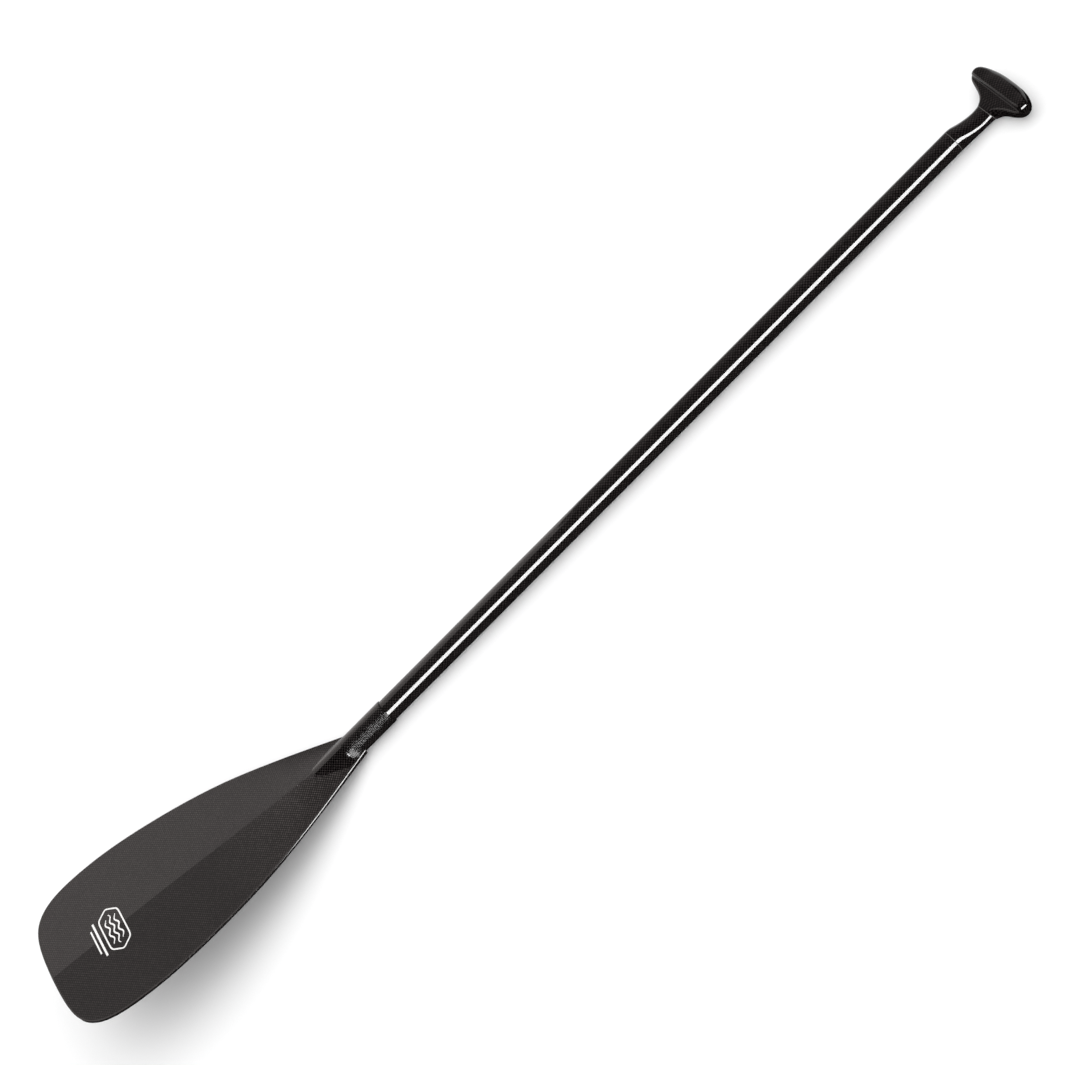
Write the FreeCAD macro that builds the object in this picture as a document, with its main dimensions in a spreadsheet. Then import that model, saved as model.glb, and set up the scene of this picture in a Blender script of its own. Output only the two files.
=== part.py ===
import FreeCAD, Part
import math
import os
import Sketcher

V = FreeCAD.Vector
doc = FreeCAD.newDocument("bent_shaft_canoe_paddle")

# ---------------------------------------------------------------------------
# Bent-shaft canoe paddle, lying with its hollow face up.
# +X runs along the shaft towards the palm grip, +Z is up, Y is across.
# The origin is the middle of the paddle's length, at floor level.
# ---------------------------------------------------------------------------
sheet = doc.addObject("Spreadsheet::Sheet", "Dimensions")
DIMS = [
    ("shaft_radius", "13.0"),
    ("shaft_bore_radius", "11.5"),
    ("plug_radius", "11.2"),
    ("wrap_radius", "14.2"),
    ("neck_x", "-304.7"),          # where the blade's centre line leaves the shaft axis
    ("wrap_reach", "67.4"),        # sleeve length on the shaft side of the neck
    ("root_reach", "24.2"),        # shaft end, on the shaft side of the neck
    ("shaft_end_x", "603.3"),      # grip end of the tube
    ("grip_seam_x", "646.9"),      # palm grip starts
    ("grip_top_x", "688.6"),
    ("joint_gap", "0.6"),          # width of the glue lines
    ("spar_depth", "106.0"),       # tang length in the tube
    ("spigot_depth", "61.0"),
    ("seal_thick", "15.0"),
    ("bend_deg", "12.446"),
    ("skin_thick", "0.6"),
    ("band_width", "4.0"),
    ("edge_half_thick", "1.5"),
    ("blade_scale", "1.008"),
    ("shell_thick", "1.6"),
    ("mark_thick", "0.15"),
    ("scoop_radius", "16.0"),
]
for row, (alias, text) in enumerate(DIMS, start=1):
    sheet.set("A%d" % row, alias)
    sheet.set("B%d" % row, text)
    sheet.setAlias("B%d" % row, alias)
doc.recompute()


def dim(alias):
    return float(getattr(sheet, alias))


R_SH = dim("shaft_radius")
R_BORE = dim("shaft_bore_radius")
R_PLUG = dim("plug_radius")
R_WRAP = dim("wrap_radius")
NX = dim("neck_x")
ZS = R_WRAP                       # height of the shaft axis over the floor
BETA = math.radians(dim("bend_deg"))
CB, SB = math.cos(BETA), math.sin(BETA)
K = dim("blade_scale")
SKIN = dim("skin_thick")
TE = dim("edge_half_thick")
SHELL = dim("shell_thick")
GAP = dim("joint_gap")
SEAM_X = dim("grip_seam_x")
TOP_X = dim("grip_top_x")
SHAFT_END = dim("shaft_end_x")
ROOT_X = NX + dim("root_reach")   # blade end of the shaft tube


# ---------------------------------------------------------------------------
# Round pieces on the shaft axis, as PartDesign bodies
# ---------------------------------------------------------------------------
def role_plane(body, role):
    for f in body.Origin.OriginFeatures:
        if getattr(f, "Role", "") == role:
            return f
    raise RuntimeError("no plane " + role)


def ring_body(name, x0_expr, length_expr, outer_alias, inner_alias=None):
    """A tube or a rod along +X: a sketch on the body's YZ plane, padded along X."""
    body = doc.addObject("PartDesign::Body", name)
    body.Label = name
    sk = body.newObject("Sketcher::SketchObject", name + "_profile")
    sk.AttachmentSupport = [(role_plane(body, "YZ_Plane"), "")]
    sk.MapMode = "FlatFace"
    sk.addGeometry(Part.Circle(V(0, 0, 0), V(0, 0, 1), 10.0), False)
    sk.addConstraint(Sketcher.Constraint("Coincident", 0, 3, -1, 1))
    i = sk.addConstraint(Sketcher.Constraint("Radius", 0, 10.0))
    sk.renameConstraint(i, "outer_radius")
    sk.setExpression("Constraints.outer_radius", "Dimensions." + outer_alias)
    if inner_alias:
        sk.addGeometry(Part.Circle(V(0, 0, 0), V(0, 0, 1), 5.0), False)
        sk.addConstraint(Sketcher.Constraint("Coincident", 1, 3, -1, 1))
        i = sk.addConstraint(Sketcher.Constraint("Radius", 1, 5.0))
        sk.renameConstraint(i, "inner_radius")
        sk.setExpression("Constraints.inner_radius", "Dimensions." + inner_alias)
    pad = body.newObject("PartDesign::Pad", name + "_pad")
    pad.Profile = sk
    pad.setExpression("Length", length_expr)
    body.Tip = pad
    body.setExpression("Placement.Base.x", x0_expr)
    body.setExpression("Placement.Base.z", "Dimensions.wrap_radius")
    return body


nodes = []

# hollow carbon tube
shaft = ring_body(
    "shaft_tube",
    "Dimensions.neck_x + Dimensions.root_reach",
    "Dimensions.shaft_end_x - Dimensions.neck_x - Dimensions.root_reach",
    "shaft_radius",
    "shaft_bore_radius",
)
nodes.append(shaft)
# glue film round the tang, blade end
nodes.append(ring_body(
    "spar_glue_sleeve",
    "Dimensions.neck_x + Dimensions.root_reach",
    "Dimensions.spar_depth",
    "shaft_bore_radius",
    "plug_radius",
))
# foam disc beyond the tang
nodes.append(ring_body(
    "blade_end_seal_plug",
    "Dimensions.neck_x + Dimensions.root_reach + Dimensions.spar_depth",
    "Dimensions.seal_thick",
    "shaft_bore_radius",
))
# glue film round the grip's spigot
nodes.append(ring_body(
    "spigot_glue_sleeve",
    "Dimensions.shaft_end_x - Dimensions.spigot_depth",
    "Dimensions.spigot_depth",
    "shaft_bore_radius",
    "plug_radius",
))
# foam disc beyond the spigot
nodes.append(ring_body(
    "grip_end_seal_plug",
    "Dimensions.shaft_end_x - Dimensions.spigot_depth - Dimensions.seal_thick",
    "Dimensions.seal_thick",
    "shaft_bore_radius",
))
# light line of glue between tube and grip neck
nodes.append(ring_body(
    "glue_line_shaft",
    "Dimensions.shaft_end_x",
    "Dimensions.joint_gap",
    "shaft_radius",
    "plug_radius",
))


# ---------------------------------------------------------------------------
# Blade. u runs along the blade from the neck to the tip, v across it, w is
# the blade's own normal (up, hollow side). All three in blade units, times K.
# ---------------------------------------------------------------------------
L_BLADE = 387.54


def w_edge(u):
    """Height of the blade's rim: straight at the root, easing down to the tip."""
    s = u / L_BLADE
    return -0.33 - 0.0232 * s - 5.5213 * s * s - 5.6404 * s ** 3


def at(u, v, w):
    x = NX - K * (u * CB - w * SB)
    z = ZS + K * (u * SB + w * CB)
    return V(x, -K * v, z)


def lerp(table, u):
    if u <= table[0][0]:
        return table[0][1]
    for (a, fa), (b, fb) in zip(table, table[1:]):
        if u <= b:
            return fa + (fb - fa) * (u - a) / (b - a)
    return table[-1][1]


# half width along the blade
HALF = [(-40.0, 9.0), (-22.2, 15.3), (0.0, 24.46), (37.78, 40.12), (73.63, 54.05), (107.54, 65.89),
        (139.51, 75.29), (169.55, 82.34), (197.64, 87.7), (223.8, 91.83), (248.02, 94.89),
        (270.31, 96.82), (290.65, 97.51), (309.06, 97.17), (325.53, 96.01), (340.06, 93.82),
        (352.66, 90.31), (363.31, 85.16), (372.03, 78.02), (377.61, 70.54), (381.95, 60.53),
        (384.4, 50.45), (386.14, 37.43), (387.06, 23.88), (387.45, 10.99)]
# crest of the crease above the rim's mid height, and depth of the other face below it
CREST = [(-36.0, 7.3), (-10.0, 7.2), (10.0, 7.0), (30.0, 6.6), (45.0, 6.2), (60.0, 5.8), (80.0, 5.0),
         (100.0, 4.4), (130.0, 3.8), (160.0, 3.4), (200.0, 3.2), (240.0, 3.1), (280.0, 3.0),
         (320.0, 3.0), (360.0, 2.9), (396.0, 2.8)]
DEPTH = [(-36.0, 6.2), (-10.0, 6.0), (10.0, 5.8), (30.0, 5.4), (45.0, 5.0), (60.0, 4.6), (80.0, 4.1),
         (100.0, 3.7), (130.0, 3.3), (160.0, 3.0), (200.0, 2.8), (240.0, 2.6), (280.0, 2.5),
         (320.0, 2.4), (360.0, 2.3), (396.0, 2.2)]
STATIONS = [c[0] for c in CREST]


def slab(top, bottom):
    """Solid between two levels. Each level is ('top'|'bottom', offset in mm along w)."""
    wires = []
    for u in STATIONS:
        if u < 300:
            half = lerp(HALF, u)
        else:
            half = 97.0
        wide = half + 6.0

        def level(which, off):
            if which == "top":
                mid = lerp(CREST, u)
                rim = TE
            else:
                mid = -lerp(DEPTH, u)
                rim = -TE
            slope = (rim - mid) / half
            return w_edge(u) + mid + off, w_edge(u) + mid + off + slope * wide

        tm, te = level(*top)
        bm, be = level(*bottom)
        pts = [at(u, -wide, te), at(u, 0, tm), at(u, wide, te), at(u, wide, be), at(u, 0, bm), at(u, -wide, be)]
        wires.append(Part.makePolygon(pts + [pts[0]]))
    return Part.makeLoft(wires, True, False)


def outline_points(inset):
    side = [(u, h) for u, h in HALF[1:]]
    if inset:
        out = []
        for i, (u, h) in enumerate(side):
            u0, h0 = side[max(i - 1, 0)]
            u1, h1 = side[i + 1] if i + 1 < len(side) else (387.54, 0.0)
            du, dh = u1 - u0, h1 - h0
            n = math.hypot(du, dh)
            out.append((u + inset * dh / n, h - inset * du / n))
        out[0] = (side[0][0], side[0][1] - inset * 1.08)
        side = out
    tip = (387.54 - inset, 0.0)
    right = [(u, h) for u, h in side]
    left = [(u, -h) for u, h in reversed(side)]
    return right + [tip] + left


def prism_from(points, smooth):
    """Upright prism (along w) over points given in (u, v)."""
    lo = [at(u, v, -45.0) for u, v in points]
    if smooth:
        c = Part.BSplineCurve()
        c.interpolate(lo)
        edges = [c.toShape(), Part.makeLine(lo[-1], lo[0])]
        wire = Part.Wire(edges)
    else:
        wire = Part.makePolygon(lo + [lo[0]])
    face = Part.Face(wire)
    up = V(SB, 0, CB)
    return face.extrude(up * 95.0)


P_OUT = prism_from(outline_points(0.0), True)
P_IN = prism_from(outline_points(dim("band_width")), True)
BLADE_ALL = slab(("top", 0.0), ("bottom", 0.0)).common(P_OUT)
CORE_SLAB = slab(("top", -SKIN), ("bottom", SKIN))
CORE_OUT = CORE_SLAB.common(P_OUT)

# centre stringer: narrow at the root, so that it enters the tube
STRINGER = prism_from([(-34.0, -7.6), (60.0, -8.6), (225.0, -4.5), (225.0, 4.5), (60.0, 8.6), (-34.0, 7.6)], False)
HALF_LEFT = prism_from([(-60.0, 0.0), (420.0, 0.0), (420.0, -130.0), (-60.0, -130.0)], False)


def one(shape, name, count=1):
    solids = sorted(shape.Solids, key=lambda s: -s.Volume)
    big = [s for s in solids if s.Volume > 1.0]
    if count and len(big) != count:
        raise RuntimeError("%s has %d solids: %s" % (name, len(big), [round(s.Volume, 2) for s in solids]))
    return big[0] if len(big) == 1 else Part.makeCompound(big)


def add_feature(name, shape, place=None):
    obj = doc.addObject("Part::Feature", name)
    obj.Label = name
    obj.Shape = shape
    obj.Placement = place or FreeCAD.Placement(V(0, 0, 0), FreeCAD.Rotation())
    nodes.append(obj)
    return obj


# ---------------------------------------------------------------------------
# Neck: the round sleeve runs straight on into the blade root. Its top sinks
# under the rising crease, its underside fairs into the power face.
# ---------------------------------------------------------------------------
#           x past neck, top, bottom, half width (all from the shaft axis)
NECK = [
    (0.0, 14.2, -14.2, 14.2),
    (10.0, 14.2, -14.1, 14.2),
    (30.0, 14.2, -12.4, 14.0),
    (50.0, 14.2, -8.8, 13.2),
    (70.0, 15.4, -3.8, 12.0),
    (90.0, 19.4, 2.4, 10.6),
    (110.0, 23.6, 9.4, 9.0),
    (130.0, 27.8, 16.8, 7.4),
    (150.0, 31.9, 24.4, 5.8),
    (170.0, 36.0, 31.6, 4.2),
]


def oval(x, zc, a, b, n=24):
    pts = [V(x, a * math.cos(2 * math.pi * i / n), zc + b * math.sin(2 * math.pi * i / n)) for i in range(n)]
    c = Part.BSplineCurve()
    c.interpolate(pts, PeriodicFlag=True)
    return Part.Wire([c.toShape()])


def neck_loft(shrink, start, last):
    """The sleeve's outer form as one skin, from x = start past the neck (negative) to the tail."""
    wires = []
    for x in (-67.4, -50.0, -36.0, -24.2, -12.0):
        if x >= start - 1e-6:
            wires.append(oval(NX - x, ZS, R_WRAP - shrink, R_WRAP - shrink))
    for x, top, bot, half in NECK[:last]:
        zc, b = 0.5 * (top + bot), 0.5 * (top - bot)
        wires.append(oval(NX - x, ZS + zc, half - shrink, b - shrink))
    return Part.makeLoft(wires, True, False)


wall = R_WRAP - R_SH + 0.1
outer_form = neck_loft(0.0, -dim("wrap_reach"), 10)
inner_form = neck_loft(wall, -dim("root_reach"), 9)
tube_space = Part.makeCylinder(R_SH, dim("wrap_reach") - dim("root_reach") + 5.0, V(ROOT_X, 0, ZS), V(1, 0, 0))
wrap = outer_form.cut(tube_space).cut(inner_form).cut(BLADE_ALL)
wrap = one(wrap, "neck_wrap")

# tang: a rod in the tube that carries on as the stringer between the skins
rod = Part.makeCylinder(R_PLUG, dim("spar_depth"), V(ROOT_X, 0, ZS), V(1, 0, 0))
stringer = CORE_SLAB.common(STRINGER)
spar = rod.fuse(stringer)
spar = one(spar, "blade_spar")

filler = inner_form.cut(BLADE_ALL).cut(spar)
# the blade's own mid plane parts the filler into the piece over the root and
# the piece under it
over = Part.Face(Part.makePolygon([at(-60.0, -40.0, 0.4), at(240.0, -40.0, 0.4), at(240.0, 40.0, 0.4),
                                   at(-60.0, 40.0, 0.4), at(-60.0, -40.0, 0.4)])).extrude(V(SB, 0, CB) * 60.0)
filler_back = one(filler.common(over), "neck_filler_back")
filler_power = one(filler.cut(over), "neck_filler_power")

core_in = CORE_OUT.common(P_IN).cut(STRINGER)
core_left = one(core_in.common(HALF_LEFT), "blade_core_left")
core_right = one(core_in.cut(HALF_LEFT), "blade_core_right")
band = CORE_OUT.cut(P_IN)
back_skin = slab(("top", 0.0), ("top", -SKIN)).common(P_OUT)
power_skin = slab(("bottom", SKIN), ("bottom", 0.0)).common(P_OUT)

add_feature("neck_wrap", wrap)
add_feature("neck_filler_power", filler_power)
add_feature("neck_filler_back", filler_back)
add_feature("blade_spar", spar)
add_feature("blade_core_left", core_left)
add_feature("blade_core_right", core_right)
add_feature("blade_edge_band", one(band, "blade_edge_band"))
add_feature("blade_back_skin", one(back_skin, "blade_back_skin"))
add_feature("blade_power_skin", one(power_skin, "blade_power_skin"))

# ---------------------------------------------------------------------------
# Mark on the hollow face: a long hexagon ring with three water strokes and
# two plain bars below it, as thin film. It carries no lettering.
# ---------------------------------------------------------------------------
UM, VM = 303.0, 0.0


def hexa(du, dv):
    return [(UM - du, VM - dv + 9), (UM, VM - dv), (UM + du, VM - dv + 9), (UM + du, VM + dv - 9), (UM, VM + dv), (UM - du, VM + dv - 9)]


ring = prism_from(hexa(13.6, 31.0), False).cut(prism_from(hexa(12.0, 28.8), False))
pieces = [ring]
for k, du in enumerate((-6.0, 0.0, 6.0)):
    n = 16
    span = 17.0 if k != 1 else 21.0
    top = []
    bot = []
    for i in range(n + 1):
        v = -span + 2 * span * i / n
        c = UM + du + 1.5 * math.sin(v * math.pi / 7.0)
        top.append((c - 0.9, VM + v))
        bot.append((c + 0.9, VM + v))
    pieces.append(prism_from(top + bot[::-1], False))
for du, half, thick in ((19.5, 24.0, 2.4), (24.6, 17.0, 1.8)):
    pieces.append(prism_from([(UM + du - thick / 2, -half), (UM + du - thick / 2, half), (UM + du + thick / 2, half), (UM + du + thick / 2, -half)], False))
film = slab(("top", dim("mark_thick")), ("top", 0.0))
mark = Part.makeCompound([s for p in pieces for s in film.common(p).Solids])
add_feature("blade_mark", mark)

# ---------------------------------------------------------------------------
# Grip: a neck that thins from above, then a broad T-shaped palm piece
# ---------------------------------------------------------------------------
#            x, centre height, half width, half thickness (from the shaft axis)
# x is measured from the end of the tube
GRIP_NECK = [
    (GAP, 0.0, 13.0, 13.0),
    (5.0, -0.2, 13.0, 12.8),
    (14.0, -2.0, 12.7, 11.0),
    (24.0, -3.8, 12.4, 9.2),
    (34.5, -4.8, 12.3, 8.3),
    (44.0, -4.4, 12.9, 8.8),
    (52.0, -3.4, 15.5, 9.8),
]


def grip_neck_form(shrink):
    wires = [oval(SHAFT_END + x, ZS + c, a - shrink, b - shrink) for x, c, a, b in GRIP_NECK]
    return Part.makeLoft(wires, True, False)


def palm_form(shrink):
    # flare out of the neck: its cross section goes from an oval to a rounded slab
    flare = [
        (39.0, -4.6, 12.4, 8.5, 2.0),
        (44.0, -4.4, 12.9, 8.8, 2.0),
        (52.0, -3.2, 16.5, 10.0, 2.5),
        (58.0, -1.6, 22.5, 11.0, 3.0),
        (64.0, -0.8, 29.0, 10.6, 3.0),
        (70.0, -0.6, 31.0, 8.0, 3.0),
    ]
    n = 24
    wires = []
    for x, c, a, b, power in flare:
        pts = []
        for i in range(n):
            t = 2 * math.pi * i / n
            cy, cz = math.cos(t), math.sin(t)
            k = (abs(cy) ** power + abs(cz) ** power) ** (-1.0 / power)
            pts.append(V(SHAFT_END + x, (a - shrink) * cy * k, ZS + c + (b - shrink) * cz * k))
        curve = Part.BSplineCurve()
        curve.interpolate(pts, PeriodicFlag=True)
        wires.append(Part.Wire([curve.toShape()]))
    f = Part.makeLoft(wires, True, False)
    # cross bar: crowned in plan, thick in the middle, rounded at its ends, with a level underside
    bar = [
        (-45.0, 70.0, 2.9, 1.7, 1.9),
        (-44.2, 70.0, 2.7, 4.6, 5.0),
        (-41.5, 69.85, 2.2, 8.05, 8.7),
        (-36.0, 69.8, 0.9, 10.8, 11.4),
        (-27.0, 69.8, -0.9, 13.6, 12.8),
        (-14.0, 69.55, -0.5, 15.45, 13.5),
        (0.0, TOP_X - SHAFT_END - 15.95, -0.3, 15.95, 13.7),
    ]
    bar = bar + [(-y, x, c, rx, rz) for y, x, c, rx, rz in reversed(bar[:-1])]
    wires = []
    for y, xc, c, rx, rz in bar:
        rx, rz = rx - shrink, rz - shrink
        if rx < 0.25 or rz < 0.25:
            continue
        yy = y * (1.0 - shrink / 46.0)
        pts = [V(SHAFT_END + xc + rx * math.cos(2 * math.pi * i / n), yy, ZS + c + rz * math.sin(2 * math.pi * i / n))
               for i in range(n)]
        curve = Part.BSplineCurve()
        curve.interpolate(pts, PeriodicFlag=True)
        wires.append(Part.Wire([curve.toShape()]))
    b = Part.makeLoft(wires, True, False)
    whole = f.fuse(b)
    # thumb rest on the hollow side: a level web that sweeps up to a lip along the bar
    r = dim("scoop_radius") + shrink
    cx, cz = SHAFT_END + 56.0, ZS + 5.2 + dim("scoop_radius")

    def on_arc(deg):
        return V(cx + r * math.sin(math.radians(deg)), -90.0, cz - r * math.cos(math.radians(deg)))

    start = V(SHAFT_END + 30.0, -90.0, on_arc(0.0).z - 0.08 * 26.0)
    p0, p1, p2 = on_arc(0.0), on_arc(30.0), on_arc(60.0)
    high = 60.0
    edges = [
        Part.makeLine(start, p0),
        Part.Arc(p0, p1, p2).toShape(),
        Part.makeLine(p2, V(p2.x, -90.0, ZS + high)),
        Part.makeLine(V(p2.x, -90.0, ZS + high), V(start.x, -90.0, ZS + high)),
        Part.makeLine(V(start.x, -90.0, ZS + high), start),
    ]
    tool = Part.Face(Part.Wire(edges)).extrude(V(0, 180.0, 0))
    return whole.cut(tool)


def tilted_half(x0):
    """Everything on the grip side of the palm seam, which leans a little."""
    box = Part.makeBox(200.0, 160.0, 160.0, V(0, -80.0, -80.0))
    box.rotate(V(0, 0, 0), V(0, 1, 0), -14.0)
    box.translate(V(x0, 0, ZS + 3.0))
    return box


beyond_a = tilted_half(SEAM_X)
beyond_b = tilted_half(SEAM_X + GAP)
neck_out = grip_neck_form(0.0)
neck_in = grip_neck_form(SHELL)
neck_shell = neck_out.cut(neck_in).cut(beyond_a)
glue_palm = neck_out.common(beyond_a).cut(beyond_b)
rod2 = Part.makeCylinder(R_PLUG, dim("spigot_depth") + GAP, V(SHAFT_END - dim("spigot_depth"), 0, ZS), V(1, 0, 0))
spigot = rod2.fuse(neck_in.cut(beyond_a))

palm_out = palm_form(0.0).common(beyond_b)
palm_in = palm_form(SHELL).common(beyond_b)
shell = palm_out.cut(palm_in)
parting = Part.makeBox(200.0, 200.0, 100.0, V(560.0, -100.0, ZS - 0.5))
face_shell = shell.common(parting)
rear_shell = shell.cut(parting)

add_feature("grip_neck_shell", one(neck_shell, "grip_neck_shell"))
add_feature("glue_line_palm", one(glue_palm, "glue_line_palm"))
add_feature("grip_spigot", one(spigot, "grip_spigot"))
add_feature("grip_core", one(palm_in, "grip_core"))
add_feature("grip_face_shell", one(face_shell, "grip_face_shell"))
add_feature("grip_rear_shell", one(rear_shell, "grip_rear_shell"))

# ---------------------------------------------------------------------------
# Checks and export
# ---------------------------------------------------------------------------
doc.recompute()
for obj in doc.Objects:
    bad = [st for st in obj.State if st in ("Invalid", "Error")]
    if bad:
        raise RuntimeError("%s is %s" % (obj.Name, bad))
os.makedirs("parts", exist_ok=True)
for obj in nodes:
    shape = obj.Shape
    if shape.isNull() or not shape.isValid() or not shape.Solids:
        raise RuntimeError(obj.Label + " has no valid solid")
    bb = shape.optimalBoundingBox(False, False)
    print("%-22s vol %10.1f  solids %d  x %.1f..%.1f y %.1f..%.1f z %.1f..%.1f" % (
        obj.Label, shape.Volume, len(shape.Solids), bb.XMin, bb.XMax, bb.YMin, bb.YMax, bb.ZMin, bb.ZMax))
for obj in nodes:
    obj.Shape.exportStep("parts/%s.step" % obj.Label)
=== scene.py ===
import math

import bmesh
import bpy
import numpy as np
from mathutils import Matrix, Vector


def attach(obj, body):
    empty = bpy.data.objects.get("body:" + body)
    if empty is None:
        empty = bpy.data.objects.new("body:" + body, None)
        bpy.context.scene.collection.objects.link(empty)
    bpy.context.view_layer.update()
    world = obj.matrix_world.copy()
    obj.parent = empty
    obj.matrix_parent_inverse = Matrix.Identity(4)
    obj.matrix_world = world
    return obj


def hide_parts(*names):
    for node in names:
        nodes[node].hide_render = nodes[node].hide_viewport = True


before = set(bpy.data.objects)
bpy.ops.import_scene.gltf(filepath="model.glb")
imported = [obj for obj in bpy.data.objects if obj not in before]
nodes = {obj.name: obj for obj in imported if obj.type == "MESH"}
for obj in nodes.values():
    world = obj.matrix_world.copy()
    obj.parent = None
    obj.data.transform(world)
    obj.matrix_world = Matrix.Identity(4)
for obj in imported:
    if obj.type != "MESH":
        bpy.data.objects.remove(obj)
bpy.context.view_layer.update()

SC = bpy.context.scene
MM = 0.001

# ---------------------------------------------------------------------------
# Where things are (millimetres, row frame): +X to the grip, +Z up
# ---------------------------------------------------------------------------
ZS = 14.2            # height of the shaft axis
R_SH = 13.0
R_WRAP = 14.2
NX = -304.7          # neck: blade centre line leaves the shaft axis
K = 1.008
BETA = math.radians(12.446)
CB, SB = math.cos(BETA), math.sin(BETA)
L_BLADE = 387.54
TE = 1.5
SHAFT_END = 603.3
SEAM_X = 646.9
GAP = 0.6
TILT = math.radians(14.0)


# ---------------------------------------------------------------------------
# Camera first: the photograph's viewpoint
# ---------------------------------------------------------------------------
def camera():
    cam = bpy.data.cameras.new("main_camera")
    ob = bpy.data.objects.new("main_camera", cam)
    SC.collection.objects.link(ob)
    ax = np.array([0.9940438216337747, -0.0009491681651430895, -0.10897696890405109])
    ay = np.array([0.07461006144111441, -0.7229504087719636, 0.6868595527385521])
    an = np.array([0.07943688943729715, 0.6908992730754933, 0.7185735696922629])
    t = np.array([308.79886602333005, -24.25214674144777, -2634.463412807254])
    side1 = np.array([ax[0], ay[0], an[0]])
    side2 = np.array([ax[1], ay[1], an[1]])
    back = np.array([ax[2], ay[2], an[2]])
    right = -0.7052 * side1 - 0.7090 * side2
    up = -0.7090 * side1 + 0.7052 * side2
    place = -np.array([t @ ax, t @ ay, t @ an])

    def row(v):
        return Vector((-v[0], -v[1], v[2]))

    r, u, b = row(right).normalized(), row(up), row(back).normalized()
    u = b.cross(r).normalized()
    pos = Vector((-place[0] * K + NX, -place[1] * K, place[2] * K + ZS)) * MM
    m = Matrix((
        (r.x, u.x, b.x, pos.x),
        (r.y, u.y, b.y, pos.y),
        (r.z, u.z, b.z, pos.z),
        (0, 0, 0, 1),
    ))
    ob.matrix_world = m
    cam.sensor_width = 36.0
    cam.sensor_fit = "HORIZONTAL"
    cam.lens = 36.0 * 2480.0 / 1065.0
    cam.clip_start = 0.05
    cam.clip_end = 60.0
    SC.camera = ob
    return ob


CAM = camera()

# ---------------------------------------------------------------------------
# Smooth tables
# ---------------------------------------------------------------------------


class Spline:
    """Natural cubic through (x, y) points, as numpy."""

    def __init__(self, pts):
        p = np.array(pts, float)
        self.x, self.y = p[:, 0], p[:, 1]
        n = len(p)
        h = np.diff(self.x)
        a = np.zeros((n, n))
        r = np.zeros(n)
        a[0, 0] = a[-1, -1] = 1.0
        for i in range(1, n - 1):
            a[i, i - 1] = h[i - 1]
            a[i, i] = 2 * (h[i - 1] + h[i])
            a[i, i + 1] = h[i]
            r[i] = 3 * ((self.y[i + 1] - self.y[i]) / h[i] - (self.y[i] - self.y[i - 1]) / h[i - 1])
        self.c = np.linalg.solve(a, r)
        self.b = (self.y[1:] - self.y[:-1]) / h - h * (2 * self.c[:-1] + self.c[1:]) / 3
        self.d = np.diff(self.c) / (3 * h)

    def __call__(self, q):
        q = np.asarray(q, float)
        i = np.clip(np.searchsorted(self.x, q) - 1, 0, len(self.x) - 2)
        t = q - self.x[i]
        return self.y[i] + t * (self.b[i] + t * (self.c[i] + t * self.d[i]))


def smooth(a, b, x):
    t = np.clip((np.asarray(x, float) - a) / (b - a), 0, 1)
    return t * t * (3 - 2 * t)


# blade half width, crest of the crease and depth of the other face
HALF = [(-40.0, 8.2), (-22.2, 15.3), (0.0, 24.46), (37.78, 40.12), (73.63, 54.05), (107.54, 65.89),
        (139.51, 75.29), (169.55, 82.34), (197.64, 87.7), (223.8, 91.83), (248.02, 94.89),
        (270.31, 96.82), (290.65, 97.51), (309.06, 97.17), (325.53, 96.01), (340.06, 93.82),
        (352.66, 90.31), (363.31, 85.16), (372.03, 78.02), (377.61, 70.54), (381.95, 60.53),
        (384.4, 50.45), (386.14, 37.43), (387.06, 23.88), (387.45, 10.99)]
CREST = Spline([(-36.0, 7.3), (-10.0, 7.2), (10.0, 7.0), (30.0, 6.6), (45.0, 6.2), (60.0, 5.8), (80.0, 5.0),
                (100.0, 4.4), (130.0, 3.8), (160.0, 3.4), (200.0, 3.2), (240.0, 3.1), (280.0, 3.0),
                (320.0, 3.0), (360.0, 2.9), (396.0, 2.8)])
DEPTH = Spline([(-36.0, 6.2), (-10.0, 6.0), (10.0, 5.8), (30.0, 5.4), (45.0, 5.0), (60.0, 4.6), (80.0, 4.1),
                (100.0, 3.7), (130.0, 3.3), (160.0, 3.0), (200.0, 2.8), (240.0, 2.6), (280.0, 2.5),
                (320.0, 2.4), (360.0, 2.3), (396.0, 2.2)])
HW = Spline(HALF[:13] + [(320.0, 97.4), (400.0, 97.4)])


def w_edge(u):
    s = np.asarray(u, float) / L_BLADE
    return -0.33 - 0.0232 * s - 5.5213 * s * s - 5.6404 * s ** 3


def w_top(u, v, soft=2.2):
    u = np.asarray(u, float)
    crest = CREST(u)
    half = np.minimum(HW(u), 98.0)
    slope = (crest - TE) / half
    return w_edge(u) + crest - slope * (np.sqrt(v * v + soft * soft) - soft)


def w_bot(u, v, soft=6.0):
    u = np.asarray(u, float)
    depth = DEPTH(u)
    half = np.minimum(HW(u), 98.0)
    slope = (depth - TE) / half
    return w_edge(u) - depth + slope * (np.sqrt(v * v + soft * soft) - soft)


def at(u, v, w):
    """Blade coordinates to the row frame, in mm."""
    u, v, w = np.broadcast_arrays(np.asarray(u, float), np.asarray(v, float), np.asarray(w, float))
    return np.stack([NX - K * (u * CB - w * SB), -K * v, ZS + K * (u * SB + w * CB)], -1)


def into_blade(p):
    """Row frame (mm) to blade coordinates."""
    xr = (NX - p[..., 0]) / K
    nr = (p[..., 2] - ZS) / K
    return xr * CB + nr * SB, -p[..., 1] / K, -xr * SB + nr * CB


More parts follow.
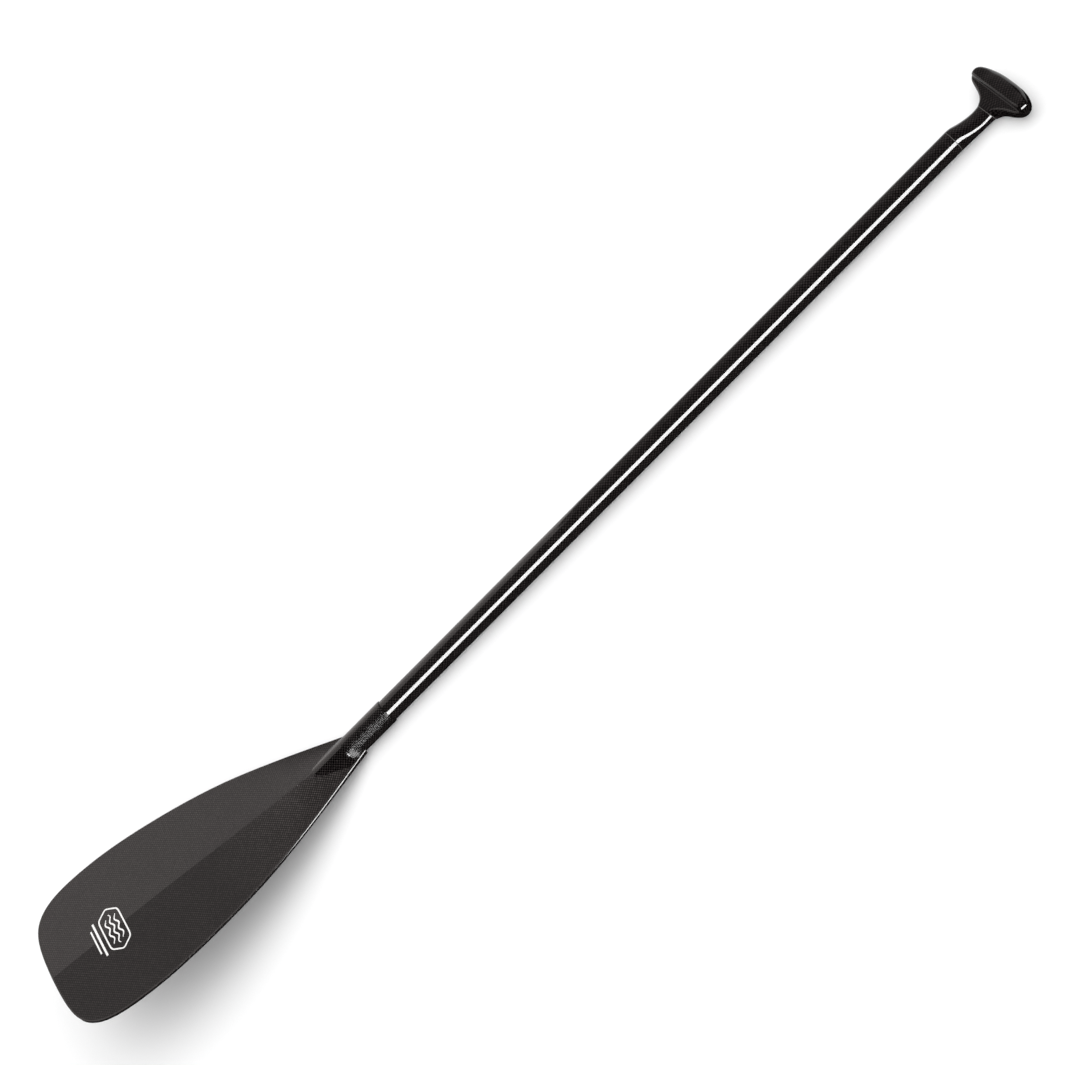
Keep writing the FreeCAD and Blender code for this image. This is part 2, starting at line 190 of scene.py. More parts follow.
# ---------------------------------------------------------------------------
# Mesh helpers
# ---------------------------------------------------------------------------
def mesh_object(name, verts, faces, uvs=None, smooth_shade=True):
    """verts in mm; uvs is one (u, v) per vertex, in mm, or None."""
    me = bpy.data.meshes.new(name)
    me.from_pydata([tuple(map(float, v)) for v in np.asarray(verts) * MM], [], [tuple(map(int, f)) for f in faces])
    me.validate()
    if uvs is not None:
        layer = me.uv_layers.new(name="cloth")
        uv = np.asarray(uvs, float) * MM
        idx = np.zeros(len(me.loops), np.int32)
        me.loops.foreach_get("vertex_index", idx)
        layer.data.foreach_set("uv", uv[idx].ravel())
    me.polygons.foreach_set("use_smooth", [smooth_shade] * len(me.polygons))
    me.update()
    ob = bpy.data.objects.new(name, me)
    SC.collection.objects.link(ob)
    return ob


def grid_faces(rows, cols, wrap_cols=False, flip=False, base=0):
    out = []
    cc = cols if wrap_cols else cols - 1
    for i in range(rows - 1):
        for j in range(cc):
            a = base + i * cols + j
            b = base + i * cols + (j + 1) % cols
            c = base + (i + 1) * cols + (j + 1) % cols
            d = base + (i + 1) * cols + j
            out.append((a, d, c, b) if flip else (a, b, c, d))
    return out


def outward(ob):
    bm = bmesh.new()
    bm.from_mesh(ob.data)
    bmesh.ops.recalc_face_normals(bm, faces=bm.faces)
    bm.to_mesh(ob.data)
    bm.free()
    return ob


# ---------------------------------------------------------------------------
# Materials
# ---------------------------------------------------------------------------
class Nodes:
    def __init__(self, name):
        self.mat = bpy.data.materials.new(name)
        self.mat.use_nodes = True
        self.t = self.mat.node_tree
        self.t.nodes.clear()
        self.out = self.t.nodes.new("ShaderNodeOutputMaterial")
        self.bsdf = self.t.nodes.new("ShaderNodeBsdfPrincipled")
        self.t.links.new(self.bsdf.outputs[0], self.out.inputs[0])

    def link(self, a, b):
        self.t.links.new(a, b)

    def put(self, socket, value):
        if hasattr(value, "is_output") or hasattr(value, "links"):
            self.link(value, socket)
        else:
            socket.default_value = value

    def math(self, op, a, b=None, c=None, clamp=False):
        n = self.t.nodes.new("ShaderNodeMath")
        n.operation = op
        n.use_clamp = clamp
        self.put(n.inputs[0], a)
        if b is not None:
            self.put(n.inputs[1], b)
        if c is not None:
            self.put(n.inputs[2], c)
        return n.outputs[0]

    def noise(self, vec, scale, detail=2.0, rough=0.5, dims="3D"):
        n = self.t.nodes.new("ShaderNodeTexNoise")
        n.noise_dimensions = dims
        self.link(vec, n.inputs["Vector"])
        n.inputs["Scale"].default_value = scale
        n.inputs["Detail"].default_value = detail
        n.inputs["Roughness"].default_value = rough
        return n.outputs[0]

    def ramp(self, fac, stops, interp="LINEAR"):
        n = self.t.nodes.new("ShaderNodeValToRGB")
        n.color_ramp.interpolation = interp
        els = n.color_ramp.elements
        while len(els) < len(stops):
            els.new(0.5)
        for e, (p, c) in zip(els, stops):
            e.position = p
            e.color = (*c, 1.0) if len(c) == 3 else c
        self.link(fac, n.inputs[0])
        return n.outputs[0]

    def mix(self, fac, a, b):
        n = self.t.nodes.new("ShaderNodeMix")
        n.data_type = "RGBA"
        self.put(n.inputs[0], fac)
        self.put(n.inputs[6], a if hasattr(a, "links") else (*a, 1.0))
        self.put(n.inputs[7], b if hasattr(b, "links") else (*b, 1.0))
        return n.outputs[2]

    def span(self, fac, lo, hi):
        n = self.t.nodes.new("ShaderNodeMapRange")
        self.link(fac, n.inputs[0])
        n.inputs[3].default_value = lo
        n.inputs[4].default_value = hi
        return n.outputs[0]

    def bump(self, height, strength, distance, normal=None):
        n = self.t.nodes.new("ShaderNodeBump")
        n.inputs["Strength"].default_value = strength
        n.inputs["Distance"].default_value = distance
        self.link(height, n.inputs["Height"])
        if normal is not None:
            self.link(normal, n.inputs["Normal"])
        return n.outputs[0]

    def object_coords(self):
        return self.t.nodes.new("ShaderNodeTexCoord").outputs["Object"]

    def uv(self):
        n = self.t.nodes.new("ShaderNodeUVMap")
        n.uv_map = "cloth"
        return n.outputs[0]


def carbon(name, cell, turn=0.0, twill=False, warp_sheen=(0.020, 0.017, 0.0165), weft=(0.0075, 0.0064, 0.0062),
           coat_rough=0.03, coat_bump=0.0, base_rough=(0.30, 0.42), weave_bump=0.35, coat=1.0, coat_ior=1.25,
           spec=0.25, painted_glint=0.0, glitter_seed=0.0, wear=0.0, root_painted_sheen=0.0):
    """Woven carbon under resin. cell is a tow's width in mm; coordinates come from the piece's own cloth map (m)."""
    g = Nodes(name)
    sep = g.t.nodes.new("ShaderNodeSeparateXYZ")
    g.link(g.uv(), sep.inputs[0])
    x, y = sep.outputs[0], sep.outputs[1]
    k = 1.0 / (cell * MM)
    ca, sa = math.cos(turn) * k, math.sin(turn) * k
    a = g.math("ADD", g.math("MULTIPLY", x, ca), g.math("MULTIPLY", y, sa))
    b = g.math("ADD", g.math("MULTIPLY", x, -sa), g.math("MULTIPLY", y, ca))
    fa, fb = g.math("FLOOR", a), g.math("FLOOR", b)
    if twill:
        m = g.math("MODULO", g.math("ADD", g.math("ADD", fa, fb), 4000.0), 4.0)
        mask = g.math("LESS_THAN", m, 1.5)
    else:
        m = g.math("MODULO", g.math("ADD", g.math("ADD", fa, fb), 4000.0), 2.0)
        mask = g.math("LESS_THAN", m, 0.5)
    pa = g.math("ABSOLUTE", g.math("SINE", g.math("MULTIPLY", a, math.pi)))
    pb = g.math("ABSOLUTE", g.math("SINE", g.math("MULTIPLY", b, math.pi)))
    # a tow is domed across its width, and dips at its ends where it goes under
    up_a = g.math("MULTIPLY", g.math("POWER", pa, 0.5), g.math("MULTIPLY_ADD", pb, 0.45, 0.55))
    up_b = g.math("MULTIPLY", g.math("POWER", pb, 0.5), g.math("MULTIPLY_ADD", pa, 0.45, 0.55))
    hmix = g.t.nodes.new("ShaderNodeMix")
    g.link(mask, hmix.inputs[0])
    g.link(up_b, hmix.inputs[2])
    g.link(up_a, hmix.inputs[3])
    height = hmix.outputs[0]
    # each tow's own tone: random per tow, and it also stands in for painted sparkle
    cellv = g.t.nodes.new("ShaderNodeCombineXYZ")
    g.link(fa, cellv.inputs[0])
    g.link(fb, cellv.inputs[1])
    cellv.inputs[2].default_value = glitter_seed
    white = g.t.nodes.new("ShaderNodeTexWhiteNoise")
    g.link(cellv.outputs[0], white.inputs[0])
    broad = g.noise(g.object_coords(), 22.0, 3.0)
    # painted sheen: the warp tows are coloured paler than the weft tows, standing in for the fibres' directional shine
    tow = g.mix(mask, weft, warp_sheen)
    shade = g.math("MULTIPLY", g.span(white.outputs[0], 0.72, 1.28), g.span(broad, 0.80, 1.20))
    # painted shade: the colour darkens where a tow dips under its neighbours
    shade = g.math("MULTIPLY", shade, g.math("MULTIPLY_ADD", height, 0.75, 0.35))
    if root_painted_sheen:
        # painted sheen: the base colour is made paler towards the blade's root, standing in for the reflection the
        # facet catches there
        along = g.t.nodes.new("ShaderNodeSeparateXYZ")
        g.link(g.object_coords(), along.inputs[0])
        root_sheen_ramp = g.t.nodes.new("ShaderNodeMapRange")
        root_sheen_ramp.interpolation_type = "SMOOTHSTEP"
        root_sheen_ramp.inputs["From Min"].default_value = -0.50
        root_sheen_ramp.inputs["From Max"].default_value = -0.345
        root_sheen_ramp.inputs["To Min"].default_value = 1.0
        root_sheen_ramp.inputs["To Max"].default_value = 1.0 + root_painted_sheen
        g.link(along.outputs[0], root_sheen_ramp.inputs["Value"])
        shade = g.math("MULTIPLY", shade, root_sheen_ramp.outputs[0])
    # painted glint: bright specks added to the base colour stand in for sparkles of reflected light
    if painted_glint:
        spark = g.math("MULTIPLY", g.math("GREATER_THAN", white.outputs[0], 0.80), painted_glint)
        shade = g.math("ADD", shade, spark)
    vm = g.t.nodes.new("ShaderNodeVectorMath")
    vm.operation = "SCALE"
    g.link(tow, vm.inputs[0])
    g.link(shade, vm.inputs["Scale"])
    colour = vm.outputs[0]
    if wear:
        geo = g.t.nodes.new("ShaderNodeNewGeometry")
        edge = g.ramp(geo.outputs["Pointiness"], [(0.50, (0, 0, 0)), (0.56, (1, 1, 1))])
        scuff = g.noise(g.object_coords(), 160.0, 4.0, 0.7)
        amount = g.math("MULTIPLY", g.math("MULTIPLY", edge, g.ramp(scuff, [(0.48, (0, 0, 0)), (0.62, (1, 1, 1))])), wear)
        colour = g.mix(amount, colour, (0.09, 0.085, 0.08))
    g.link(colour, g.bsdf.inputs["Base Color"])
    rough = g.math("ADD", g.span(height, base_rough[1], base_rough[0]), g.math("MULTIPLY", g.math("SUBTRACT", broad, 0.5), 0.12))
    g.link(rough, g.bsdf.inputs["Roughness"])
    g.bsdf.inputs["Specular IOR Level"].default_value = spec
    g.bsdf.inputs["Coat Weight"].default_value = coat
    g.bsdf.inputs["Coat IOR"].default_value = coat_ior
    g.bsdf.inputs["Coat Roughness"].default_value = coat_rough
    fine = g.noise(g.object_coords(), 900.0, 2.0)
    under = g.bump(height, weave_bump, 0.00012)
    under = g.bump(fine, 0.08, 0.00004, under)
    g.link(under, g.bsdf.inputs["Normal"])
    # the resin over the cloth: nearly level, with a faint print of the weave and slow waves
    waves = g.noise(g.object_coords(), 60.0, 2.0)
    top = g.bump(waves, 0.06, 0.0005)
    if coat_bump:
        lump = g.math("MULTIPLY_ADD", white.outputs[0], 0.5, g.math("MULTIPLY", height, 0.7))
        top = g.bump(lump, coat_bump, 0.00020, top)
    g.link(top, g.bsdf.inputs["Coat Normal"])
    return g.mat


def plain(name, colour, rough, bump_scale, bump, vary=0.15, spec=0.4, coat=0.0):
    g = Nodes(name)
    oc = g.object_coords()
    n = g.noise(oc, bump_scale, 4.0, 0.6)
    slow = g.noise(oc, 35.0, 3.0)
    lo = tuple(c * (1 - vary) for c in colour)
    hi = tuple(min(1.0, c * (1 + vary)) for c in colour)
    g.link(g.mix(g.math("MULTIPLY_ADD", n, 0.5, g.math("MULTIPLY", slow, 0.5)), lo, hi), g.bsdf.inputs["Base Color"])
    g.link(g.span(slow, rough * 0.85, min(1.0, rough * 1.2)), g.bsdf.inputs["Roughness"])
    g.bsdf.inputs["Specular IOR Level"].default_value = spec
    g.bsdf.inputs["Coat Weight"].default_value = coat
    g.link(g.bump(n, bump, 0.0002), g.bsdf.inputs["Normal"])
    return g.mat


def foam(name, colour, cell):
    g = Nodes(name)
    v = g.t.nodes.new("ShaderNodeTexVoronoi")
    v.inputs["Scale"].default_value = cell
    g.link(g.object_coords(), v.inputs["Vector"])
    lo = tuple(c * 0.8 for c in colour)
    g.link(g.ramp(v.outputs["Distance"], [(0.0, lo), (0.5, colour)]), g.bsdf.inputs["Base Color"])
    g.link(g.span(v.outputs["Distance"], 0.75, 0.95), g.bsdf.inputs["Roughness"])
    g.bsdf.inputs["Specular IOR Level"].default_value = 0.2
    g.link(g.bump(v.outputs["Distance"], 0.5, 0.0005), g.bsdf.inputs["Normal"])
    return g.mat


CELL_TUBE = 2 * math.pi * R_SH / 40       # an even number of tows closes the cloth round the tube
CELL_WRAP = 2 * math.pi * R_WRAP / 48
CELL_GRIP = 2 * math.pi * R_SH / 42
CLOTH = 1.8
# in each cloth below the paler warp colour is painted sheen on the warp tows; the weft colour is the darker tow colour
M_TUBE = carbon("carbon_tube_cloth", CELL_TUBE, warp_sheen=(0.0235, 0.0198, 0.0194), weft=(0.0050, 0.0042, 0.0041),
                coat_rough=0.035, base_rough=(0.40, 0.55), weave_bump=0.4, spec=0.0)
# the neck cloth: smooth resin over one shoulder, rough and thin over the other; the rough copy's paler cloth colour is
# painted sheen on the side turned to the front strip light
M_WRAP = carbon("carbon_neck_cloth", CELL_WRAP, warp_sheen=(0.0230, 0.0193, 0.0189), weft=(0.0008, 0.0006, 0.0006),
                coat_rough=0.05, base_rough=(0.40, 0.55), weave_bump=0.4, spec=0.0)
M_WRAP_ROUGH_SHEEN = carbon("carbon_neck_cloth_rough_sheen", CELL_WRAP, warp_sheen=(0.0280, 0.0243, 0.0240), weft=(0.0010, 0.0008, 0.0008),
                      coat_rough=0.07, coat_bump=0.55, base_rough=(0.40, 0.55), weave_bump=0.4, spec=0.0, coat=0.30)
M_BACK = carbon("carbon_blade_back", CLOTH, warp_sheen=(0.0262, 0.0229, 0.0222), weft=(0.0046, 0.0040, 0.0038),
                coat_rough=0.19, base_rough=(0.45, 0.55), weave_bump=0.3, spec=0.0)
# painted shade: the near facet's cloth is a darker copy of the far facet's, darkened to the light it gets; its root is
# painted paler, a painted sheen
M_NEAR_SHADED = carbon("carbon_blade_back_near_shaded", CLOTH, warp_sheen=(0.0205, 0.0179, 0.0173), weft=(0.0040, 0.0035, 0.0034),
                coat_rough=0.19, base_rough=(0.45, 0.55), weave_bump=0.3, spec=0.0, coat_ior=1.18, root_painted_sheen=1.3)
M_POWER = carbon("carbon_blade_power", CLOTH, warp_sheen=(0.0262, 0.0229, 0.0222), weft=(0.0046, 0.0040, 0.0038),
                 coat_rough=0.17, base_rough=(0.45, 0.55), weave_bump=0.3, spec=0.0)
M_EDGE = carbon("carbon_blade_edge", 1.6, turn=math.pi / 4, twill=True, warp_sheen=(0.022, 0.0191, 0.0186), weft=(0.014, 0.0121, 0.0118),
                coat_rough=0.07, coat_bump=0.03, weave_bump=0.3, wear=0.25, spec=0.0)
M_GRIP = carbon("carbon_palm", 1.9, turn=0.0, warp_sheen=(0.0165, 0.0134, 0.0133), weft=(0.0024, 0.0020, 0.0020),
                coat_rough=0.045, coat_bump=0.0, base_rough=(0.40, 0.55), weave_bump=0.45, spec=0.0)
M_GRIP_NECK = carbon("carbon_grip_neck", CELL_GRIP, warp_sheen=(0.0220, 0.0180, 0.0178), weft=(0.0030, 0.0025, 0.0025),
                     coat_rough=0.035, base_rough=(0.40, 0.55), weave_bump=0.4, spec=0.0)
M_GLUE = plain("glue_line", (0.085, 0.080, 0.076), 0.5, 400.0, 0.2, spec=0.1)
M_FILL = plain("epoxy_filler", (0.12, 0.11, 0.10), 0.6, 600.0, 0.4)
M_FOAM = foam("foam_core", (0.75, 0.72, 0.60), 900.0)
M_SPAR = foam("foam_spar", (0.55, 0.50, 0.38), 1400.0)


def mark_material():
    g = Nodes("mark_film")
    oc = g.object_coords()
    speck = g.noise(oc, 900.0, 3.0, 0.6)
    slow = g.noise(oc, 90.0, 2.0)
    worn = g.ramp(speck, [(0.30, (0.30, 0.29, 0.28)), (0.42, (0.80, 0.80, 0.785))])
    g.link(g.mix(g.math("MULTIPLY", slow, 0.25), worn, (0.66, 0.66, 0.65)), g.bsdf.inputs["Base Color"])
    g.link(g.span(slow, 0.35, 0.5), g.bsdf.inputs["Roughness"])
    g.bsdf.inputs["Coat Weight"].default_value = 0.4
    g.bsdf.inputs["Coat Roughness"].default_value = 0.1
    g.link(g.bump(speck, 0.1, 0.00005), g.bsdf.inputs["Normal"])
    return g.mat


M_MARK = mark_material()

for name, mat in {
    "shaft_tube": M_TUBE, "neck_wrap": M_WRAP, "neck_filler_back": M_FILL, "neck_filler_power": M_FILL,
    "blade_spar": M_SPAR, "spar_glue_sleeve": M_GLUE, "blade_end_seal_plug": M_FOAM, "blade_core_left": M_FOAM,
    "blade_core_right": M_FOAM, "blade_back_skin": M_BACK, "blade_power_skin": M_POWER, "blade_edge_band": M_EDGE,
    "blade_mark": M_MARK, "glue_line_shaft": M_GLUE, "grip_neck_shell": M_GRIP_NECK, "glue_line_palm": M_GLUE,
    "grip_spigot": M_SPAR, "spigot_glue_sleeve": M_GLUE, "grip_end_seal_plug": M_FOAM, "grip_core": M_FOAM,
    "grip_face_shell": M_GRIP, "grip_rear_shell": M_GRIP,
}.items():
    ob = nodes[name]
    ob.data.materials.clear()
    ob.data.materials.append(mat)


def finish_piece(ob, mat, slot, *replaced):
    ob.data.materials.clear()
    ob.data.materials.append(mat)
    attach(ob, "root")
    if replaced:
        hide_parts(*replaced)
    return ob


# ---------------------------------------------------------------------------
# Shaft tube: round, smooth, with its real bore
# ---------------------------------------------------------------------------
def shaft():
    n = 160
    xs = np.concatenate([np.linspace(-280.5, -234.7, 12), np.linspace(-232.7, 602.7, 120), [603.15, SHAFT_END]])
    rs = np.full(len(xs), R_SH)
    rs[-1] = R_SH - 0.15
    ang = np.linspace(-math.pi, math.pi, n + 1)
    verts, uvs = [], []
    for x, r in zip(xs, rs):
        # the tube is laid up by hand, so it is very slightly out of round along its length
        wob = 0.02 * np.sin(x / 61.0 + 1.3) * np.cos(2 * ang)
        verts.append(np.stack([np.full(n + 1, x), (r + wob) * np.sin(ang), ZS + (r + wob) * np.cos(ang)], -1))
        uvs.append(np.stack([np.full(n + 1, x), ang * R_SH], -1))
    outer_rows = len(xs)
    for x in (SHAFT_END, -280.5):
        verts.append(np.stack([np.full(n + 1, x), 11.5 * np.sin(ang), ZS + 11.5 * np.cos(ang)], -1))
        uvs.append(np.stack([np.full(n + 1, x), ang * 11.5], -1))
    v = np.concatenate(verts)
    uv = np.concatenate(uvs)
    rows = outer_rows + 2
    faces = grid_faces(rows, n + 1)
    # close the blade end, so that the wall has its thickness
    last = (rows - 1) * (n + 1)
    for j in range(n):
        faces.append((last + j, last + j + 1, j + 1, j))
    ob = mesh_object("shaft_skin", v, faces, uv)
    bm = bmesh.new()
    bm.from_mesh(ob.data)
    bmesh.ops.remove_doubles(bm, verts=bm.verts, dist=1e-6)
    bmesh.ops.recalc_face_normals(bm, faces=bm.faces)
    for e in bm.edges:
        if len(e.link_faces) == 2 and e.calc_face_angle(0) > math.radians(50):
            e.smooth = False
    bm.to_mesh(ob.data)
    bm.free()
    return finish_piece(ob, M_TUBE, "carbon_tube", "shaft_tube")


shaft()

# ---------------------------------------------------------------------------
# Blade faces
# ---------------------------------------------------------------------------


def outline(n):
    """Points round the rim, root to tip on one side (v > 0), evenly spaced, with outward normals in (u, v)."""
    side = np.array(HALF[1:] + [(L_BLADE, 0.0)] + [(u, -h) for u, h in reversed(HALF[17:])])
    # chord-length cubic through the rim, on past the tip so that it crosses the centre line squarely
    d = np.concatenate([[0], np.cumsum(np.hypot(*np.diff(side, axis=0).T) ** 0.5)])
    su, sv = Spline(np.c_[d, side[:, 0]]), Spline(np.c_[d, side[:, 1]])
    end = d[len(HALF) - 1]
    q = np.linspace(0, end, 4000)
    p = np.c_[su(q), sv(q)]
    s = np.concatenate([[0], np.cumsum(np.hypot(*np.diff(p, axis=0).T))])
    want = np.linspace(0, s[-1], n)
    pu, pv = np.interp(want, s, p[:, 0]), np.interp(want, s, p[:, 1])
    tu, tv = np.gradient(pu), np.gradient(pv)
    ln = np.hypot(tu, tv)
    tu, tv = tu / ln, tv / ln
    nu, nv = -tv, tu
    flip = (nu * (pu - 200) + nv * pv).sum() < 0
    if flip:
        nu, nv = -nu, -nv
    pv[-1] = 0.0
    nu[-1], nv[-1] = 1.0, 0.0
    return pu, pv, nu, nv, want


RIM_N = 420
PU, PV, NU, NV, PS = outline(RIM_N)
BAND = 2.2


def facet(name, sign, top, mat, slot, replaced=(), cols=56):
    """One half of a blade face, from the centre line to the inner side of the rim. It has its skin's thickness."""
    inset = BAND - 0.4
    iu, iv = PU - inset * NU, np.maximum(PV - inset * NV, 0)
    iu[0] = PU[0]
    frac = PS / PS[-1]
    cu = PU[0] + (iu[-1] - PU[0]) * frac
    verts, uvs = [], []
    func = w_top if top else w_bot
    t = np.linspace(0, 1, cols)
    t = t ** 1.35          # closer rows at the crease
    for off in (0.0, -0.6 if top else 0.6):
        for i in range(RIM_N):
            u = cu[i] + (iu[i] - cu[i]) * t
            v = iv[i] * t
            w = func(u, v) + off
            verts.append(at(u, sign * v, w))
            uvs.append(np.stack([u, sign * v], -1))
    v = np.concatenate(verts)
    uv = np.concatenate(uvs)
    n = RIM_N * cols
    faces = grid_faces(RIM_N, cols) + [f[::-1] for f in grid_faces(RIM_N, cols, base=n)]
    # walls round the skin's edge
    ring = [i * cols for i in range(RIM_N)] + [(RIM_N - 1) * cols + j for j in range(1, cols)] + \
           [i * cols + cols - 1 for i in range(RIM_N - 2, -1, -1)] + [j for j in range(cols - 2, 0, -1)]
    for a, b in zip(ring, ring[1:] + ring[:1]):
        faces.append((a, b, b + n, a + n))
    ob = mesh_object(name, v, faces, uv)
    bm = bmesh.new()
    bm.from_mesh(ob.data)
    bmesh.ops.remove_doubles(bm, verts=bm.verts, dist=2e-7)
    bmesh.ops.dissolve_degenerate(bm, edges=bm.edges, dist=1e-7)
    bmesh.ops.recalc_face_normals(bm, faces=bm.faces)
    for e in bm.edges:
        if len(e.link_faces) == 2 and e.calc_face_angle(0) > math.radians(40):
            e.smooth = False
    bm.to_mesh(ob.data)
    bm.free()
    return finish_piece(ob, mat, slot, *replaced)


# v > 0 is the side at -Y (towards the viewer)
facet("back_skin_far", -1, True, M_BACK, "carbon_blade", ("blade_back_skin",))
facet("back_skin_near", 1, True, M_NEAR_SHADED, "carbon_blade")
facet("power_skin_far", -1, False, M_POWER, "carbon_blade_power", ("blade_power_skin",))
facet("power_skin_near", 1, False, M_POWER, "carbon_blade_power")


def rim():
    """A rolled edge round the whole blade, fuller at the root and finer towards the tip."""
    pu = np.concatenate([PU, PU[-2::-1]])
    pv = np.concatenate([PV, -PV[-2::-1]])
    nu = np.concatenate([NU, NU[-2::-1]])
    nv = np.concatenate([NV, -NV[-2::-1]])
    ps = np.concatenate([PS, 2 * PS[-1] - PS[-2::-1]])
    full = 1 - smooth(45, 150, pu)
    r = 0.28 + 0.22 * full
    # the corners are bevelled at the root; the bevel dies away towards the tip
    wide = 0.72 * (1 - smooth(55, 125, pu))
    bevel = 53.0
    bx, bz = wide * math.cos(math.radians(bevel)), wide * math.sin(math.radians(bevel))
    bead = 0.10 * full

    def faces_at(ins):
        u, v = pu - ins * nu, pv - ins * nv
        return u, v, w_top(u, v), w_bot(u, v)

    u1, v1, t1, b1 = faces_at(1.0)
    rows = []
    up = [(2.6, -0.5, 0), (2.3, -0.08, 0), (2.15, -0.02, 0.1), (2.0, 0.0, 0.5), (1.85, 0.0, 0.9), (1.65, 0.0, 1.0), (1.45, 0.0, 0.8)]
    for ins, h, f in up:
        u, v, t, b = faces_at(ins)
        rows.append(at(u, v, t + h + bead * f))
    arcs = [(0, 1), (18, 1), (36, 1), (bevel, 1), (bevel, 0), (64, 0), (77, 0), (90, 0)]
    for deg, before in arcs:
        a = math.radians(deg)
        ins = r * (1 - math.sin(a)) + bx * before
        u, v = pu - ins * nu, pv - ins * nv
        rows.append(at(u, v, t1 + 0.02 + bead * 0.4 - r * (1 - math.cos(a)) - bz * (1 - before)))
    for deg, before in reversed(arcs):
        a = math.radians(deg)
        ins = r * (1 - math.sin(a)) + 0.5 * bx * before
        u, v = pu - ins * nu, pv - ins * nv
        rows.append(at(u, v, b1 - 0.02 - bead * 0.4 + r * (1 - math.cos(a)) + 0.5 * bz * (1 - before)))
    for ins, h, f in reversed(up):
        u, v, t, b = faces_at(ins)
        rows.append(at(u, v, b - h - bead * f))
    v = np.concatenate(rows)
    m = len(pu)
    girth = np.linspace(0, 8.0, len(rows))
    uv = np.concatenate([np.stack([ps, np.full(m, g)], -1) for g in girth])
    k = len(rows)
    faces = grid_faces(k, m)
    # inner wall, and the two ends at the root
    for j in range(m - 1):
        faces.append((j, (k - 1) * m + j, (k - 1) * m + j + 1, j + 1))
    for j in (0, m - 1):
        faces.append(tuple(i * m + j for i in range(k)))
    ob = outward(mesh_object("edge_band", v, faces, uv))
    bm = bmesh.new()
    bm.from_mesh(ob.data)
    for e in bm.edges:
        if len(e.link_faces) == 2 and e.calc_face_angle(0) > math.radians(50):
            e.smooth = False
    bm.to_mesh(ob.data)
    bm.free()
    return finish_piece(ob, M_EDGE, "blade_edge", "blade_edge_band")


rim()

def weave_height(x, y, cell):
    """0..1 height of a plain weave at (x, y) mm."""
    a, b = x / cell, y / cell
    over = np.mod(np.floor(a) + np.floor(b), 2) < 0.5
    pa, pb = np.abs(np.sin(np.pi * a)), np.abs(np.sin(np.pi * b))
    return np.where(over, pa ** 0.5 * (0.55 + 0.45 * pb), pb ** 0.5 * (0.55 + 0.45 * pa))


# ---------------------------------------------------------------------------
# Neck wrap: sleeve, barrel sinking into the hollow face and long fairing underneath
# ---------------------------------------------------------------------------
N_TOP = Spline([(-70, 14.2), (-45, 14.2), (-20, 14.2), (0, 14.2), (10, 14.2), (30, 14.2), (50, 14.2), (70, 15.4), (90, 19.4),
                (110, 23.6), (130, 27.8), (150, 31.9), (170, 36.0)])
N_BOT = Spline([(-70, -14.2), (-45, -14.2), (-20, -14.2), (0, -14.2), (10, -14.1), (30, -12.4), (50, -8.8), (70, -3.8),
                (90, 2.4), (110, 9.4), (130, 16.8), (150, 24.4), (170, 31.6)])
N_HALF = Spline([(-70, 14.2), (-45, 14.2), (-20, 14.2), (0, 14.2), (10, 14.2), (30, 14.0), (50, 13.2), (70, 12.0),
                 (90, 10.6), (110, 9.0), (130, 7.4), (150, 5.8), (170, 4.2)])


# how far the cloth reaches over the facets (u, reach in mm): near side and far side
V_NEAR = [(-24.0, 14.2), (-15.0, 16.6), (-9.0, 19.2), (-3.0, 21.8), (3.3, 22.8), (8.0, 20.6), (13.2, 18.2), (21.9, 15.2), (28.0, 13.4),
          (33.0, 11.6), (37.0, 9.2), (41.0, 6.2), (44.5, 3.4), (47.5, 1.4), (49.0, 0.5)]
V_FAR = [(-24.0, 14.2), (-15.0, 16.2), (-9.0, 18.0), (-2.3, 19.2), (7.9, 16.4), (23.6, 10.4), (33.0, 6.4), (41.0, 2.8), (46.0, 1.2), (49.0, 0.5)]


def facet_height(s, y):
    """Height above the shaft axis of the blade's hollow side, s past the neck and y across."""
    y = np.asarray(y, float)
    w = np.zeros_like(y)
    for _ in range(4):
        u = (s / K + w * SB) / CB
        w = w_top(np.maximum(u, -36.0), y / K)
    return K * (u * SB + w * CB)


def barrel(s, y, reach):
    """Height above the axis of the neck's upper side at y >= 0: a round barrel with a fillet that lands on the facet."""
    q = np.linspace(0, R_WRAP - 0.02, 240)
    above = np.sqrt(R_WRAP ** 2 - q * q) - facet_height(s, q)
    meet = q[above > 0][-1] if (above > 0).any() else 0.0
    start = min(10.6, 0.72 * meet)
    reach = max(reach, start + 0.3)
    zc = math.sqrt(R_WRAP ** 2 - start * start)
    ends = facet_height(s, np.array([start, reach - 0.4, reach]))
    z0, m0 = zc, -start / zc
    gap = zc - ends[0]
    if gap < 0.3:
        # past the point where the barrel has sunk into the crest, one layer of cloth is left
        z0 = ends[0] + max(0.3 * math.exp((gap - 0.3) / 0.3), 0.16 - 0.30 * float(smooth(46.0, 50.0, s)))
        m0 *= max(gap, 0) / 0.3
    m1 = (ends[2] - ends[1]) / 0.4
    span = reach - start
    t = np.clip((y - start) / span, 0, 1)
    fillet = ((2 * t ** 3 - 3 * t ** 2 + 1) * z0 + (t ** 3 - 2 * t ** 2 + t) * span * m0
              + (3 * t ** 2 - 2 * t ** 3) * ends[2] + (t ** 3 - t ** 2) * span * m1)
    over = np.sqrt(np.maximum(R_WRAP ** 2 - np.minimum(y, start) ** 2, 0))
    if gap < 0.3:
        over = over - (zc - z0)
    return np.where(y < start, over, fillet)


